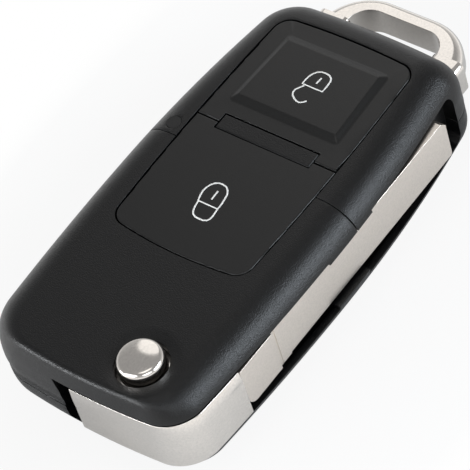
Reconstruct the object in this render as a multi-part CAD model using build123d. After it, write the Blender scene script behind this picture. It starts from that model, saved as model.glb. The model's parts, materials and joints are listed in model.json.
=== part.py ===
from build123d import *
import math
import os

# Case, in millimetres. X runs from the pivot end to the ring end, Z from the back to the buttons,
# and the blade lies along the side that faces -Y.
head_length = 36.9        # pivot end to the seam between key head and remote
remote_length = 28.3      # seam to the ring end of the case
loop_reach = 7.8          # how far the key ring loop stands out of the ring end
thickness = 15.0          # back to the top face
belly_width = 34.8        # widest place
belly_back = 5.0          # widest place, back from the seam towards the pivot
near_narrowing = 2.4      # how much narrower the pivot end is, before its corners are rounded
far_narrowing = 5.6       # how much narrower the ring end is, before its corners are rounded
near_bow = 1.1            # how far the pivot end bulges
far_bow = 0.6             # how far the ring end bulges
near_low_corner = 5.5     # plan radius of the corner round the blade carrier
near_high_corner = 7.2    # plan radius of the other corner at the pivot end
far_low_corner = 4.4      # plan radius of the ring end's corner on the blade's side
far_high_corner = 6.2     # plan radius of its other corner
near_low_tighten = 0.45   # share of each corner's radius that is gone at the top face
near_high_tighten = 0.3
far_tighten = 0.7
side_round = 5.0          # rounding of the long sides into the top face
round_steps = (-18, 0, 18, 34, 48, 60, 71, 81, 90)   # sections through that rounding, in degrees
bottom_round = 4.6        # rounding of the back along the sides and the ring end
near_bottom_round = 5.9   # and at the pivot end
lower_steps = (90, 78, 66, 54, 42, 28, 14, 0)        # sections through it
near_lean = 0.55          # how far the pivot end leans in up to its crease
lean_start_z = 9.5        # height from which it leans in
crease_round = 0.8        # rounding of that crease
parting_z = 6.8           # height of the joint between upper and lower cases
wall = 1.3                # case wall
inner_wall = 1.0          # walls inside the case
root_overlap = 0.3        # how deep a rib or post runs into the wall that it stands on
inner_top_ease = 0.75     # hollow's top rounding as a share of the full offset
seam_gap = 0.12           # open joint between key head and remote
rebate_height = 0.12      # shadow line along the parting
rebate_depth = 0.25
lip_height = 1.0          # inner lip that locates upper on lower
lip_thickness = 0.6
lip_clearance = 0.05

# Field of the two buttons, which reaches over the key head on the remote's tongue
field_margin = 6.2        # case's widest place to the field, on each side
field_end_taper = 1.0     # how much narrower the field's ends are
field_back = 15.5         # seam to the field's end over the key head
field_front = 23.4        # seam to the field's end on the remote
field_near_bow = 0.9      # bulge of the end over the key head
field_far_bow = 0.5       # bulge of the end on the remote
field_corner = 2.4
field_gap = 0.15          # open line round the buttons
tongue_clearance = 0.1    # tongue to the recess it slides into
tongue_depth = 2.2        # parting to the underside of the tongue
tongue_plate = 1.0        # thickness of the tongue's floor
deck_thickness = 1.0      # floor of the key head under the tongue
split_x = 4.45            # seam to the split between the buttons
button_travel = 0.6
travel_spare = 0.2        # room left past the end of a stroke
cap_height = 2.1          # height of a button's skirt and top
cap_plate = 1.2           # thickness of a button's top
flange_width = 0.6        # collar that holds a button under the case
flange_thickness = 0.7
flange_clearance = 0.1
collar_shift = 0.05       # collar's neck behind the face of the button's skirt
collar_bite = 0.2         # how far collar and foot run into the button's skirt and top
cap_round = 0.25
foot_radius = 2.0         # post under a button that works the mat's dome
plateau_start = 8.1       # seam to the raised field on the unlock button
plateau_length = 12.4
plateau_near_margin = 2.5 # field's side to the raised field, near the seam
plateau_far_margin = 3.05 # and at its far end
plateau_bevel = 0.9
plateau_rise = 0.45
strip_start = 3.47        # seam to the fixed strip between the buttons
strip_length = 2.38
strip_margin = 3.7        # field's side to the strip's end
rib_depth = 1.5           # bridge under the strip
unlock_x = 14.2           # seam to the middle of the unlock button's foot
lock_x = -6.0             # seam to the middle of the lock button's foot

# Silicone mat under the buttons
mat_thickness = 0.8
mat_margin = 2.4          # field's side to the mat
mat_back = 12.6
mat_front = 20.6
dome_base_radius = 3.6
dome_top_radius = 2.3
dome_wall = 0.6
dome_gap = 0.1            # dome to the button's foot

# Slot along the -Y side, and the blade and carrier in it
rim_z = 3.5               # top of the lower case's rim under the slot
roof_z = 11.9             # edge of the upper case over the slot
slot_depth = 4.2          # case's side to the slot's inner wall
slot_end = 23.3           # seam to the slot's closed end
slot_end_round = 1.2
trough_z = 2.2            # floor of the slot behind the rim
rim_thickness = 0.9
upper_lip_drop = 0.3      # lips at the seam that keep head and remote in line
upper_lip_back = 6.1
upper_lip_front = 3.3
lower_lip_rise = 0.6
lower_lip_back = 6.8
lip_depth = 1.2
pivot_from_end = 6.15     # pivot end to the pivot axis
pivot_from_side = 10.3    # case's side to the pivot axis
sweep_clearance = 0.15    # case to whatever swings inside it
carrier_waist = 0.5       # how far the case's side is in from its widest place at the carrier
carrier_bottom_z = 3.7
carrier_top_z = 11.7
carrier_end = 24.7        # seam back to the carrier's joint with the blade
carrier_reach = 18.2      # case's side to the carrier's edge on the pivot end
mouth_slant = 2.8         # how much further the slot's mouth there reaches at its top
blade_inset = 0.9         # case's side to the outer face of the folded blade
blade_thickness = 2.4
blade_bottom_z = 4.9
blade_top_z = 11.5
blade_tip = 19.8          # seam to the blade's tip
tip_chamfer = 0.9
root_end = 17.4           # seam back to the end of the blade's root block
root_inset = 0.7          # case's side to the root block's face
root_thickness = 3.0
root_bottom_z = 4.45
root_corner = 1.5
root_step = 1.7           # short deep stretch of the blade beside its root block
root_step_rise = 0.2      # root block's underside to that of the step
joint_gap = 0.08          # open joint between carrier and root block
piece_bite = 0.1          # how far blade and step run into each other
root_groove = 0.6
groove_depth = 0.3
tang_length = 6.0
tang_inset = 0.55         # tang's shoulders on each side of the root block
tang_clearance = 0.05
tang_bottom_z = 5.6
tang_top_z = 10.4
blade_pin_radius = 0.75
blade_pin_setback = 3.0   # joint to the pin's axis
blade_pin_fit = 0.02      # pin to its hole
blade_pin_recess = 0.3    # pin's ends below the carrier's faces
blade_pin_bore = 0.375
blade_pin_slit = 0.24

# Release button, its spring and the pivot bearings
release_radius = 3.08
release_hole_clearance = 0.5
release_apex_z = 16.5
release_rim_z = 16.1      # where the dome meets the side, before the edge is rounded
release_edge = 0.8        # rounding of that edge
release_travel = 2.0
release_collar_radius = 4.1
release_collar = 1.2
release_collar_clearance = 0.1
lug_reach = 0.55
lug_width = 2.6
lug_clearance = 0.15
skirt_radius = 3.4
skirt_bore = 2.8
skirt_bottom_z = 7.2
skirt_clearance = 0.08
spline_reach = 0.5
spline_width = 1.4
dish_radius = 5.6         # shallow dish round the release button
dish_depth = 0.45
bearing_gap = 0.1         # carrier to the bosses above and below it
boss_thickness = 0.8
spigot_height = 1.0
spring_wire = 0.6
spring_radius = 2.3
spring_turns = 6
spring_post_radius = 1.7
spring_post_height = 2.6
spring_clearance = 0.05   # coil to the faces it presses on

# Small pieces and key ring loop
window_radius = 1.0       # light window beside the buttons
window_x = 1.67
window_margin = 4.5       # case's widest place to the window
window_depth = 2.4
window_clearance = 0.05
window_sink = 0.05        # window's face below the top face
screw_from_seam = 25.5
screw_from_side = 5.6
screw_radius = 0.8
screw_head_radius = 1.5
screw_head = 1.0
screw_length = 7.0
screw_sink = 0.3
screw_boss_radius = 2.2
screw_clearance = 0.15
screw_pilot_fit = 0.02    # shank to its hole in the upper case
screw_pilot_spare = 1.0   # hole past the screw's tip
screw_cross_length = 1.8
screw_cross_width = 0.4
screw_cross_depth = 0.5
chip_width = 3.5          # pocket for the transponder chip, along X
chip_depth = 3.2
chip_from_side = 3.9      # case's widest place to the pocket's outer end
chip_from_sweep = 0.1     # pocket's wall to whatever swings in the head
chip_from_tongue = 0.25   # pocket's wall to the deck under the tongue
chip_wall = 0.9
cover_thickness = 0.8
cover_plug = 0.5          # how far the lid's plug reaches into the pocket
cover_fit = 0.1
cell_radius = 10.15       # seat for a 20 mm coin cell
cell_from_seam = 12.9
cell_y = 1.9
cell_wall = 0.9
cell_seat_height = 2.2
clamp_width = 3.2
clamp_sheet = 0.35
clamp_height = 3.6
clamp_gap = 0.3           # clamp to the ends of the seat's wall
clamp_inset = 0.5         # clamp's face outside the cell
clamp_hook = 0.7
loop_margin = 3.4         # ring end's corner to the loop's side
loop_arm = 4.0            # width of the loop's arms
loop_bar = 2.5            # front bar of the loop
loop_corner = 7.6
loop_hole_corner = 3.2
loop_bottom_z = 4.1
loop_thickness = 4.4
loop_round = 1.5
loop_collar = 2.2
loop_collar_step = 0.45
loop_collar_round = 1.0
tang_depth = 4.6          # how far the loop's feet reach into the case
tang_height = 2.8
tang_width = 3.0
foot_clearance = 0.1
peg_radius = 0.9
peg_foot_radius = 1.8
peg_setback = 2.2

# Places that follow from the sizes
side_y = belly_width / 2
near_width = belly_width - near_narrowing
far_width = belly_width - far_narrowing
field_width = belly_width - 2 * field_margin
field_end_width = field_width - field_end_taper
strip_width = field_width - 2 * strip_margin
mat_width = field_width - 2 * mat_margin
near_x = -(head_length + remote_length + loop_reach) / 2
seam_x = near_x + head_length
far_x = seam_x + remote_length
belly_x = seam_x - belly_back
pivot_x = near_x + pivot_from_end
head_end_x = seam_x - seam_gap
ceiling_z = thickness - wall
tongue_floor_z = parting_z - tongue_depth
tongue_top_z = tongue_floor_z + tongue_plate
deck_z = tongue_floor_z - deck_thickness
pivot_y = pivot_from_side - side_y
carrier_edge_y = carrier_reach - side_y
slot_inner_y = slot_depth - side_y
slot_wall_y = slot_inner_y + inner_wall
slot_end_x = seam_x + slot_end
carrier_end_x = seam_x - carrier_end
blade_face_y = blade_inset - side_y
blade_inner_y = blade_face_y + blade_thickness
root_face_y = root_inset - side_y
root_inner_y = root_face_y + root_thickness
carrier_swing = math.hypot(carrier_end_x - pivot_x, pivot_from_side - carrier_waist)
sweep_radius = carrier_swing + sweep_clearance
chip_x = seam_x - field_back - inner_wall - field_gap - chip_from_tongue - chip_wall - chip_width
chip_side = chip_x - chip_wall - pivot_x
chip_y = pivot_y + math.sqrt(max(0.0, sweep_radius**2 - chip_side**2)) + chip_from_sweep + chip_wall
chip_length = side_y - chip_from_side - chip_y
cap_bottom_z = thickness - cap_height
flange_top_z = ceiling_z - flange_clearance
flange_bottom_z = flange_top_z - flange_thickness
rib_top_z = flange_bottom_z - button_travel - travel_spare
rib_bottom_z = rib_top_z - rib_depth
foot_bottom_z = rib_top_z
mat_top_z = rib_bottom_z
mat_bottom_z = mat_top_z - mat_thickness
pin_x = carrier_end_x - blade_pin_setback
pin_y = (root_face_y + root_inner_y) / 2
screw_x = seam_x - screw_from_seam
screw_y = side_y - screw_from_side
window_y = side_y - window_margin
cell_x = seam_x + cell_from_seam
loop_half_width = far_width / 2 - loop_margin
loop_hole_half_width = loop_half_width - loop_arm
foot_y = (loop_hole_half_width + loop_half_width) / 2
foot_z = loop_bottom_z + loop_thickness / 2
loop_top_z = loop_bottom_z + loop_thickness
far_beyond = 10.0         # how far a cutter reaches past the case


def box(x0, x1, y0, y1, z0, z1):
    """Block between two opposite corners."""
    middle = ((x0 + x1) / 2, (y0 + y1) / 2, (z0 + z1) / 2)
    return Pos(*middle) * Box(x1 - x0, y1 - y0, z1 - z0)


def post(x, y, radius, z0, z1):
    """Upright cylinder between two heights."""
    return Pos(x, y, (z0 + z1) / 2) * Cylinder(radius, z1 - z0)


def prism(face, z0, z1):
    """Flat outline drawn up between two heights."""
    return extrude(Pos(0, 0, z0) * face, z1 - z0)


def rounded(face, corner, radius):
    """Outline with the corner nearest to a point rounded."""
    target = Vector(*corner)
    vertex = min(face.vertices(), key=lambda v: (v.center() - target).length)
    return face.fillet_2d(radius, [vertex])


def case_outline(side_in=0.0, near_in=0.0, far_in=0.0, tighten=0.0):
    """Plan of the case, set in at its sides and ends, with its corners tightened."""
    half = side_y - side_in
    near_half = near_width / 2 - side_in
    far_half = far_width / 2 - side_in
    x0 = near_x + near_in
    x1 = far_x - far_in
    near_low = (x0 + near_bow, -near_half)
    near_high = (x0 + near_bow, near_half)
    far_low = (x1 - far_bow, -far_half)
    far_high = (x1 - far_bow, far_half)
    edges = [
        ThreePointArc(near_high, (x0, 0), near_low),
        TangentArc((belly_x, -half), near_low, tangent=(-1, 0)),
        TangentArc((belly_x, -half), far_low, tangent=(1, 0)),
        ThreePointArc(far_low, (x1, 0), far_high),
        TangentArc((belly_x, half), far_high, tangent=(1, 0)),
        TangentArc((belly_x, half), near_high, tangent=(-1, 0)),
    ]
    face = make_face(edges).face()
    face = rounded(face, near_low, near_low_corner * (1 - near_low_tighten * tighten))
    face = rounded(face, near_high, near_high_corner * (1 - near_high_tighten * tighten))
    face = rounded(face, far_low, far_low_corner * (1 - far_tighten * tighten))
    return rounded(face, far_high, far_high_corner * (1 - far_tighten * tighten))


def inset_outline(depth, near_extra=0.0):
    """Plan of the case set in evenly, and a little more at the pivot end."""
    return case_outline(depth, depth + near_extra, depth, depth / side_round)


def upper_body():
    """Upper half of the case's outer form, lofted from the parting to the top face."""
    crease_z = thickness - crease_round
    sections = [case_outline()]
    heights = [parting_z]
    for degrees in round_steps:
        angle = math.radians(degrees)
        z = thickness - side_round + side_round * math.sin(angle)
        turned = 0.0 if degrees < 0 else 1 - math.cos(angle)
        climb = max(0.0, (z - lean_start_z) / (crease_z - lean_start_z))
        near_in = near_lean * min(1.0, climb)**2
        if z > crease_z:
            crease_angle = math.asin(min(1.0, (z - crease_z) / crease_round))
            near_in += crease_round * (1 - math.cos(crease_angle))
        heights.append(z)
        sections.append(case_outline(side_round * turned, near_in, side_round * turned, turned))
    return loft([Pos(0, 0, z) * face for z, face in zip(heights, sections)])


def round_in(radius, height):
    """How far a rounding of a radius is still set in at a height above its foot."""
    return radius - math.sqrt(radius**2 - max(0.0, radius - height)**2)


def lower_body(depth):
    """Lower half of the case's outer form, or the same set in evenly, lofted with its rounded back."""
    sections = []
    for degrees in lower_steps:
        height = (near_bottom_round - depth) * (1 - math.sin(math.radians(degrees)))
        side_in = depth + round_in(bottom_round - depth, height)
        near_in = depth + round_in(near_bottom_round - depth, height)
        face = case_outline(side_in, near_in, side_in, side_in / side_round)
        sections.append(Pos(0, 0, depth + height) * face)
    return loft(sections) + prism(inset_outline(depth), near_bottom_round, parting_z)


def cavity():
    """Room inside the walls of both halves."""
    block = prism(inset_outline(wall, near_lean), wall, ceiling_z)
    block = fillet(block.edges().group_by(Axis.Z)[0], bottom_round - wall)
    return fillet(block.edges().group_by(Axis.Z)[-1], (side_round - wall) * inner_top_ease)


def field_outline(grow):
    """Plan of the button field, grown or shrunk by a clearance."""
    half = field_width / 2 + grow
    end_half = field_end_width / 2 + grow
    x0 = seam_x - field_back - grow
    x1 = seam_x + field_front + grow
    corners = [
        (x0 + field_near_bow, -end_half),
        (x1 - field_far_bow, -end_half),
        (x1 - field_far_bow, end_half),
        (x0 + field_near_bow, end_half),
    ]
    edges = [
        ThreePointArc(corners[0], (seam_x, -half), corners[1]),
        ThreePointArc(corners[1], (x1, 0), corners[2]),
        ThreePointArc(corners[2], (seam_x, half), corners[3]),
        ThreePointArc(corners[3], (x0, 0), corners[0]),
    ]
    face = make_face(edges).face()
    for corner in corners:
        face = rounded(face, corner, field_corner + grow)
    return face


def slot_space():
    """Everything that the folded blade, its carrier and their swing need."""
    out_y = -side_y - far_beyond
    out_x = near_x - far_beyond
    space = post(pivot_x, pivot_y, sweep_radius, rim_z, roof_z)
    mouth = Polyline(
        (out_y, rim_z), (carrier_edge_y, rim_z), (carrier_edge_y + mouth_slant, roof_z), (out_y, roof_z),
        close=True,
    )
    space += extrude(Plane.YZ.offset(out_x) * make_face(mouth), pivot_x - out_x)
    run = box(out_x, slot_end_x, out_y, slot_inner_y, rim_z, roof_z)
    end_edges = run.edges().filter_by(Axis.Y).group_by(Axis.X)[-1]
    space += fillet(end_edges, slot_end_round)
    lip_y = lip_depth - side_y
    space -= box(
        seam_x - upper_lip_back, seam_x + upper_lip_front, out_y, lip_y, roof_z - upper_lip_drop, roof_z
    )
    space -= box(seam_x - lower_lip_back, seam_x, out_y, lip_y, rim_z, rim_z + lower_lip_rise)
    return space


def trough_space():
    """Slot floor sunk behind the rim of the lower cases."""
    run = box(near_x, slot_end_x - rim_thickness, -belly_width, slot_inner_y, trough_z, rim_z)
    run += post(pivot_x, pivot_y, sweep_radius, trough_z, rim_z)
    return run & lower_body(rim_thickness)


def parting_rebate():
    """Shadow line along the top edge of the lower cases."""
    z0 = parting_z - rebate_height
    band = box(near_x - far_beyond, far_x + far_beyond, -belly_width, belly_width, z0, parting_z)
    return band - prism(inset_outline(rebate_depth), z0, parting_z)


def locating_lip():
    """Low wall inside the lower cases that the upper cases drop over."""
    outer = wall + lip_clearance
    high = prism(inset_outline(outer, near_lean), parting_z - lip_height, parting_z + lip_height)
    root_outline = inset_outline(wall - root_overlap, near_lean)
    root = prism(root_outline, parting_z - lip_height, parting_z - root_overlap)
    inner = inset_outline(outer + lip_thickness, near_lean)
    return (high + root) - prism(inner, parting_z - lip_height, parting_z + lip_height)


def head_half(body):
    """Key head's share of a half of the case."""
    return body & box(near_x - far_beyond, head_end_x, -belly_width, belly_width, 0, thickness)


def remote_half(body):
    """Remote's share of a half of the case."""
    return body & box(seam_x, far_x + far_beyond, -belly_width, belly_width, 0, thickness)


def head_room(space):
    """Key head's hollow, behind the slot's inner wall and the end wall."""
    end = head_end_x - inner_wall
    return space & box(near_x, end, slot_wall_y, belly_width, 0, thickness)


def remote_room(space):
    """Remote's hollow, behind the slot's inner wall and the end wall."""
    return space & box(seam_x + inner_wall, far_x, slot_wall_y, belly_width, 0, thickness)


def field_ring(outside, inside, z0, z1):
    """Wall along the button field's outline."""
    return prism(field_outline(outside), z0, z1) - prism(field_outline(inside), z0, z1)


def release_dish():
    """Lens that sinks a shallow dish into the top face round the release button."""
    ball = (dish_radius**2 + dish_depth**2) / (2 * dish_depth)
    return Pos(pivot_x, pivot_y, thickness + ball - dish_depth) * Sphere(ball)


def head_upper_case(body, space):
    """Upper half of the key head, open to the slot and to the remote's tongue."""
    case = head_half(body) - head_room(space)
    case -= space & post(pivot_x, pivot_y, sweep_radius, parting_z, ceiling_z)
    ring = field_ring(inner_wall + field_gap, field_gap / 2, parting_z, ceiling_z)
    case += ring & box(near_x, head_end_x, -belly_width, belly_width, 0, thickness)
    boss_bottom = carrier_top_z + bearing_gap
    boss_inner = release_collar_radius + lug_reach + lug_clearance
    boss = post(pivot_x, pivot_y, boss_inner + boss_thickness, boss_bottom, ceiling_z)
    screw_post = post(screw_x, screw_y, screw_boss_radius, parting_z, ceiling_z)
    case -= slot_space()
    case += boss & body
    case += screw_post
    case -= post(pivot_x, pivot_y, boss_inner, boss_bottom, ceiling_z)
    case -= prism(field_outline(field_gap / 2), parting_z, thickness)
    case -= post(pivot_x, pivot_y, release_radius + release_hole_clearance, ceiling_z, thickness)
    case -= release_dish()
    pilot_top = screw_sink + screw_head + screw_length + screw_pilot_spare
    case -= post(screw_x, screw_y, screw_radius, parting_z, pilot_top)
    return case


def chip_pocket_walls():
    """Four walls on the key head's back that hold the transponder chip."""
    x0 = chip_x
    x1 = x0 + chip_width
    y0 = chip_y
    y1 = y0 + chip_length
    top = wall + chip_depth
    outer = box(x0 - chip_wall, x1 + chip_wall, y0 - chip_wall, y1 + chip_wall, wall - root_overlap, top)
    return outer - box(x0, x1, y0, y1, wall - root_overlap, top)


def head_lower_case(body, space):
    """Lower half of the key head: back, deck under the tongue, pivot spigot and chip pocket."""
    case = head_half(body) - head_room(space)
    case += head_half(locating_lip()) - box(
        head_end_x - inner_wall, head_end_x, -belly_width, belly_width, parting_z, thickness
    )
    deck = prism(field_outline(inner_wall + field_gap), deck_z, parting_z)
    case += deck & box(near_x, head_end_x, -belly_width, belly_width, 0, parting_z)
    case -= prism(field_outline(field_gap / 2), tongue_floor_z, parting_z + lip_height)
    case -= slot_space()
    case -= box(near_x, head_end_x, -belly_width, slot_inner_y, parting_z, thickness)
    case -= trough_space()
    spigot_top = carrier_bottom_z + spigot_height
    boss_top = carrier_bottom_z - bearing_gap
    case += post(pivot_x, pivot_y, skirt_radius + boss_thickness, trough_z - root_overlap, boss_top)
    case += post(pivot_x, pivot_y, skirt_radius, trough_z - root_overlap, spigot_top)
    case -= post(pivot_x, pivot_y, skirt_bore, trough_z, spigot_top)
    spring_post_top = trough_z + spring_post_height
    case += post(pivot_x, pivot_y, spring_post_radius, trough_z - root_overlap, spring_post_top)
    case += chip_pocket_walls()
    case += post(screw_x, screw_y, screw_boss_radius, wall - root_overlap, parting_z)
    case -= post(screw_x, screw_y, screw_radius + screw_clearance, 0, parting_z)
    case -= post(screw_x, screw_y, screw_head_radius + screw_clearance, 0, screw_head + screw_sink)
    case -= head_half(parting_rebate())
    return case


def loop_socket(side, clearance):
    """Opening in the ring end for one foot of the loop."""
    middle_y = side * foot_y
    half_y = tang_width / 2 + clearance
    half_z = tang_height / 2 + clearance
    return box(
        far_x - tang_depth - clearance, far_x + loop_collar,
        middle_y - half_y, middle_y + half_y, foot_z - half_z, foot_z + half_z,
    )


def peg(side, radius, z0, z1):
    """Peg through a foot of the loop."""
    return post(far_x - peg_setback, side * foot_y, radius, z0, z1)


def remote_upper_case(body, space):
    """Upper half of the remote with its button window, tongue walls and bridge."""
    case = remote_half(body) - remote_room(space)
    walls = field_ring(field_gap / 2 - tongue_clearance, -inner_wall, parting_z, rib_top_z)
    case += walls & box(near_x, seam_x + inner_wall, -belly_width, belly_width, 0, thickness)
    window = prism(field_outline(field_gap / 2), rib_top_z, thickness)
    case -= window & box(near_x, far_x, slot_wall_y, belly_width, 0, thickness)
    case -= prism(field_outline(-inner_wall), parting_z, thickness)
    rib_x0 = seam_x + strip_start
    rib_y1 = side_y - wall
    case += box(
        rib_x0, rib_x0 + strip_length, slot_wall_y - root_overlap, rib_y1, rib_bottom_z, rib_top_z
    )
    case -= slot_space()
    hole = window_radius + window_clearance
    case -= post(seam_x + window_x, window_y, hole, thickness - window_depth, thickness)
    for side in (-1, 1):
        case -= loop_socket(side, foot_clearance)
    return case


def remote_lower_case(body, space):
    """Lower half of the remote: back, tongue floor, coin cell seat and pegs for the loop."""
    case = remote_half(body) - remote_room(space)
    lip = remote_half(locating_lip())
    case += lip & box(seam_x + inner_wall, far_x, slot_wall_y, belly_width, 0, thickness)
    floor = prism(field_outline(field_gap / 2 - tongue_clearance), tongue_floor_z, parting_z)
    floor -= prism(field_outline(-inner_wall), tongue_top_z, parting_z)
    case += floor & box(near_x, seam_x + inner_wall, -belly_width, belly_width, 0, thickness)
    case -= prism(field_outline(-inner_wall), tongue_top_z, parting_z + lip_height) & box(
        near_x, seam_x + 2 * inner_wall, -belly_width, belly_width, 0, thickness
    )
    top = wall + cell_seat_height
    seat = post(cell_x, cell_y, cell_radius + cell_wall, wall - root_overlap, top)
    seat -= post(cell_x, cell_y, cell_radius, wall - root_overlap, top)
    gap = clamp_width / 2 + clamp_gap
    cell_span = 2 * cell_radius
    seat -= box(cell_x - cell_span, cell_x + cell_span, cell_y - gap, cell_y + gap, wall, top)
    case += seat
    case -= slot_space()
    case -= trough_space()
    for side in (-1, 1):
        case -= loop_socket(side, foot_clearance)
        socket_bottom = foot_z - tang_height / 2 - foot_clearance
        case += peg(side, peg_foot_radius, wall - root_overlap, socket_bottom)
        case += peg(side, peg_radius, wall - root_overlap, socket_bottom + tang_height)
    case -= remote_half(parting_rebate())
    return case


def button_cap(face, room):
    """Hollow button with a retaining collar under the case and a foot for its dome."""
    cap = prism(face, cap_bottom_z, thickness)
    cap = fillet(cap.edges().group_by(Axis.Z)[-1], cap_round)
    return cap - prism(room, cap_bottom_z, thickness - cap_plate)


def strip_space(clearance):
    """Room that the fixed strip takes out of the buttons."""
    x0 = seam_x + strip_start - clearance
    x1 = x0 + strip_length + 2 * clearance
    half = strip_width / 2 + clearance
    return box(x0, x1, -half, half, cap_bottom_z - far_beyond, thickness + far_beyond)


def half_field(grow, first, last):
    """Part of the button field between two places along X, as a flat outline."""
    middle = (first + last) / 2
    cutter = Pos(middle, 0) * Rectangle(last - first, belly_width)
    return (Sketch() + field_outline(grow)) & cutter


def button_collar(first, last):
    """Collar that keeps a button under the case's top wall."""
    ring = field_ring(flange_width, -inner_wall, flange_bottom_z, flange_top_z)
    band = box(first, last, -belly_width, belly_width, 0, thickness)
    link_top = cap_bottom_z + collar_bite
    link = field_ring(-field_gap / 2 - collar_shift, -inner_wall, flange_bottom_z, link_top)
    return (ring + link) & band


def button_foot(x):
    """Post under the middle of a button."""
    return post(x, 0, foot_radius, foot_bottom_z, thickness - cap_plate + collar_bite)


def unlock_button():
    """Button on the ring side, with its raised bevelled field."""
    first = seam_x + split_x + field_gap / 2
    last = far_x
    face = half_field(-field_gap / 2, first, last)
    room = half_field(-inner_wall, first + inner_wall, last)
    cap = button_cap(face, room) + button_collar(first, last)
    x0 = seam_x + plateau_start
    x1 = x0 + plateau_length
    near_half = field_width / 2 - plateau_near_margin
    far_half = field_width / 2 - plateau_far_margin
    b = plateau_bevel
    foot = [(x0, -near_half), (x1, -far_half), (x1, far_half), (x0, near_half)]
    crest = [
        (x0 + b, b - near_half), (x1 - b, b - far_half), (x1 - b, far_half - b), (x0 + b, near_half - b)
    ]
    foot_face = make_face(Polyline(*foot, close=True)).face()
    crest_face = make_face(Polyline(*crest, close=True)).face()
    cap += loft([Pos(0, 0, thickness) * foot_face, Pos(0, 0, thickness + plateau_rise) * crest_face])
    cap -= strip_space(field_gap)
    return cap + button_foot(seam_x + unlock_x)


def lock_button():
    """Button on the pivot side, which lies on the tongue over the key head."""
    first = near_x
    last = seam_x + split_x - field_gap / 2
    face = half_field(-field_gap / 2, first, last)
    room = half_field(-inner_wall, first, last - inner_wall)
    cap = button_cap(face, room) + button_collar(seam_x + inner_wall + travel_spare, last)
    cap -= strip_space(field_gap)
    return cap + button_foot(seam_x + lock_x)


def centre_strip():
    """Fixed strip between the buttons, standing on the upper case's bridge."""
    x0 = seam_x + strip_start
    strip = box(x0, x0 + strip_length, -strip_width / 2, strip_width / 2, rib_top_z, thickness)
    return fillet(strip.edges().group_by(Axis.Z)[-1], cap_round)


def mat_dome(x):
    """Hollow dome that stands on the mat."""
    height = foot_bottom_z - dome_gap - mat_top_z
    return Pos(x, 0, mat_top_z + height / 2) * Cone(dome_base_radius, dome_top_radius, height)


def dome_room(x):
    """Hollow under a dome."""
    height = foot_bottom_z - dome_gap - mat_bottom_z - dome_wall
    z = mat_bottom_z + height / 2
    return Pos(x, 0, z) * Cone(dome_base_radius - dome_wall, dome_top_radius - dome_wall, height)


def button_mat():
    """Silicone mat with a hollow dome under each button."""
    half = mat_width / 2
    sheet = box(seam_x - mat_back, seam_x + mat_front, -half, half, mat_bottom_z, mat_top_z)
    sheet = fillet(sheet.edges().filter_by(Axis.Z), field_corner)
    for x in (seam_x + unlock_x, seam_x + lock_x):
        sheet += mat_dome(x)
        sheet -= dome_room(x)
    return sheet


def indicator_window():
    """Clear pin that carries the indicator's light to the top face."""
    top = thickness - window_sink
    return post(seam_x + window_x, window_y, window_radius, thickness - window_depth, top)


def carrier_plan():
    """Corner of the case's plan that the carrier fills, and the hub round the pivot."""
    corner = case_outline()
    reach = -side_y
    middle = ((near_x + carrier_end_x) / 2, (carrier_edge_y + reach) / 2)
    cutter = Pos(*middle) * Rectangle(carrier_end_x - near_x, carrier_edge_y - reach)
    return (Sketch() + corner) & cutter


def blade_carrier(upper):
    """Cast carrier: the bright corner of the folded key, with the hub that turns on the pivot."""
    carrier = prism(carrier_plan(), parting_z, carrier_top_z) & upper
    carrier += prism(carrier_plan(), carrier_bottom_z, parting_z)
    carrier -= post(pivot_x, pivot_y, skirt_radius + skirt_clearance, carrier_bottom_z, carrier_top_z)
    well = release_collar_radius + lug_reach + skirt_clearance
    collar_top = ceiling_z - release_collar_clearance - release_travel
    well_floor = collar_top - release_collar - travel_spare
    carrier -= post(pivot_x, pivot_y, well, well_floor, carrier_top_z)
    reach = skirt_radius + spline_reach + skirt_clearance
    keyway = box(
        pivot_x - reach, pivot_x + reach,
        pivot_y - spline_width / 2 - skirt_clearance, pivot_y + spline_width / 2 + skirt_clearance,
        skirt_bottom_z - release_travel - travel_spare, carrier_top_z,
    )
    carrier -= keyway
    carrier -= tang(tang_clearance)
    return carrier - post(pin_x, pin_y, blade_pin_radius + blade_pin_fit, carrier_bottom_z, carrier_top_z)


def tang(clearance):
    """Tongue of the blade inside the carrier, or with a clearance its socket."""
    return box(
        carrier_end_x - tang_length - clearance, carrier_end_x + joint_gap + piece_bite,
        root_face_y + tang_inset - clearance, root_inner_y - tang_inset + clearance,
        tang_bottom_z - clearance, tang_top_z + clearance,
    )


def key_blade():
    """Uncut blade with its root block and the tang that the carrier holds."""
    root_x1 = seam_x - root_end
    step_x1 = root_x1 + root_step
    tip_x = seam_x + blade_tip
    root = box(carrier_end_x + joint_gap, root_x1, root_face_y, root_inner_y, root_bottom_z, blade_top_z)
    low_edge = root.edges().filter_by(Axis.Y).group_by(Axis.X)[0].sort_by(Axis.Z)[0]
    root = fillet(low_edge, root_corner)
    step_z = root_bottom_z + root_step_rise
    step = box(root_x1, step_x1, blade_face_y, blade_inner_y, step_z, blade_top_z)
    bar = box(step_x1 - piece_bite, tip_x, blade_face_y, blade_inner_y, blade_bottom_z, blade_top_z)
    tip_edges = bar.edges().filter_by(Axis.Y).group_by(Axis.X)[-1]
    bar = chamfer(tip_edges.sort_by(Axis.Z)[-1], tip_chamfer)
    low_tip = bar.edges().filter_by(Axis.Y).group_by(Axis.X)[-1].sort_by(Axis.Z)[0]
    bar = fillet(low_tip, tip_chamfer / 2)
    blade = root + step + bar + tang(0)
    groove_y = root_face_y + groove_depth
    blade -= box(root_x1 - root_groove, root_x1, -belly_width, groove_y, 0, thickness)
    return blade - post(pin_x, pin_y, blade_pin_radius + blade_pin_fit, carrier_bottom_z, carrier_top_z)


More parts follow.
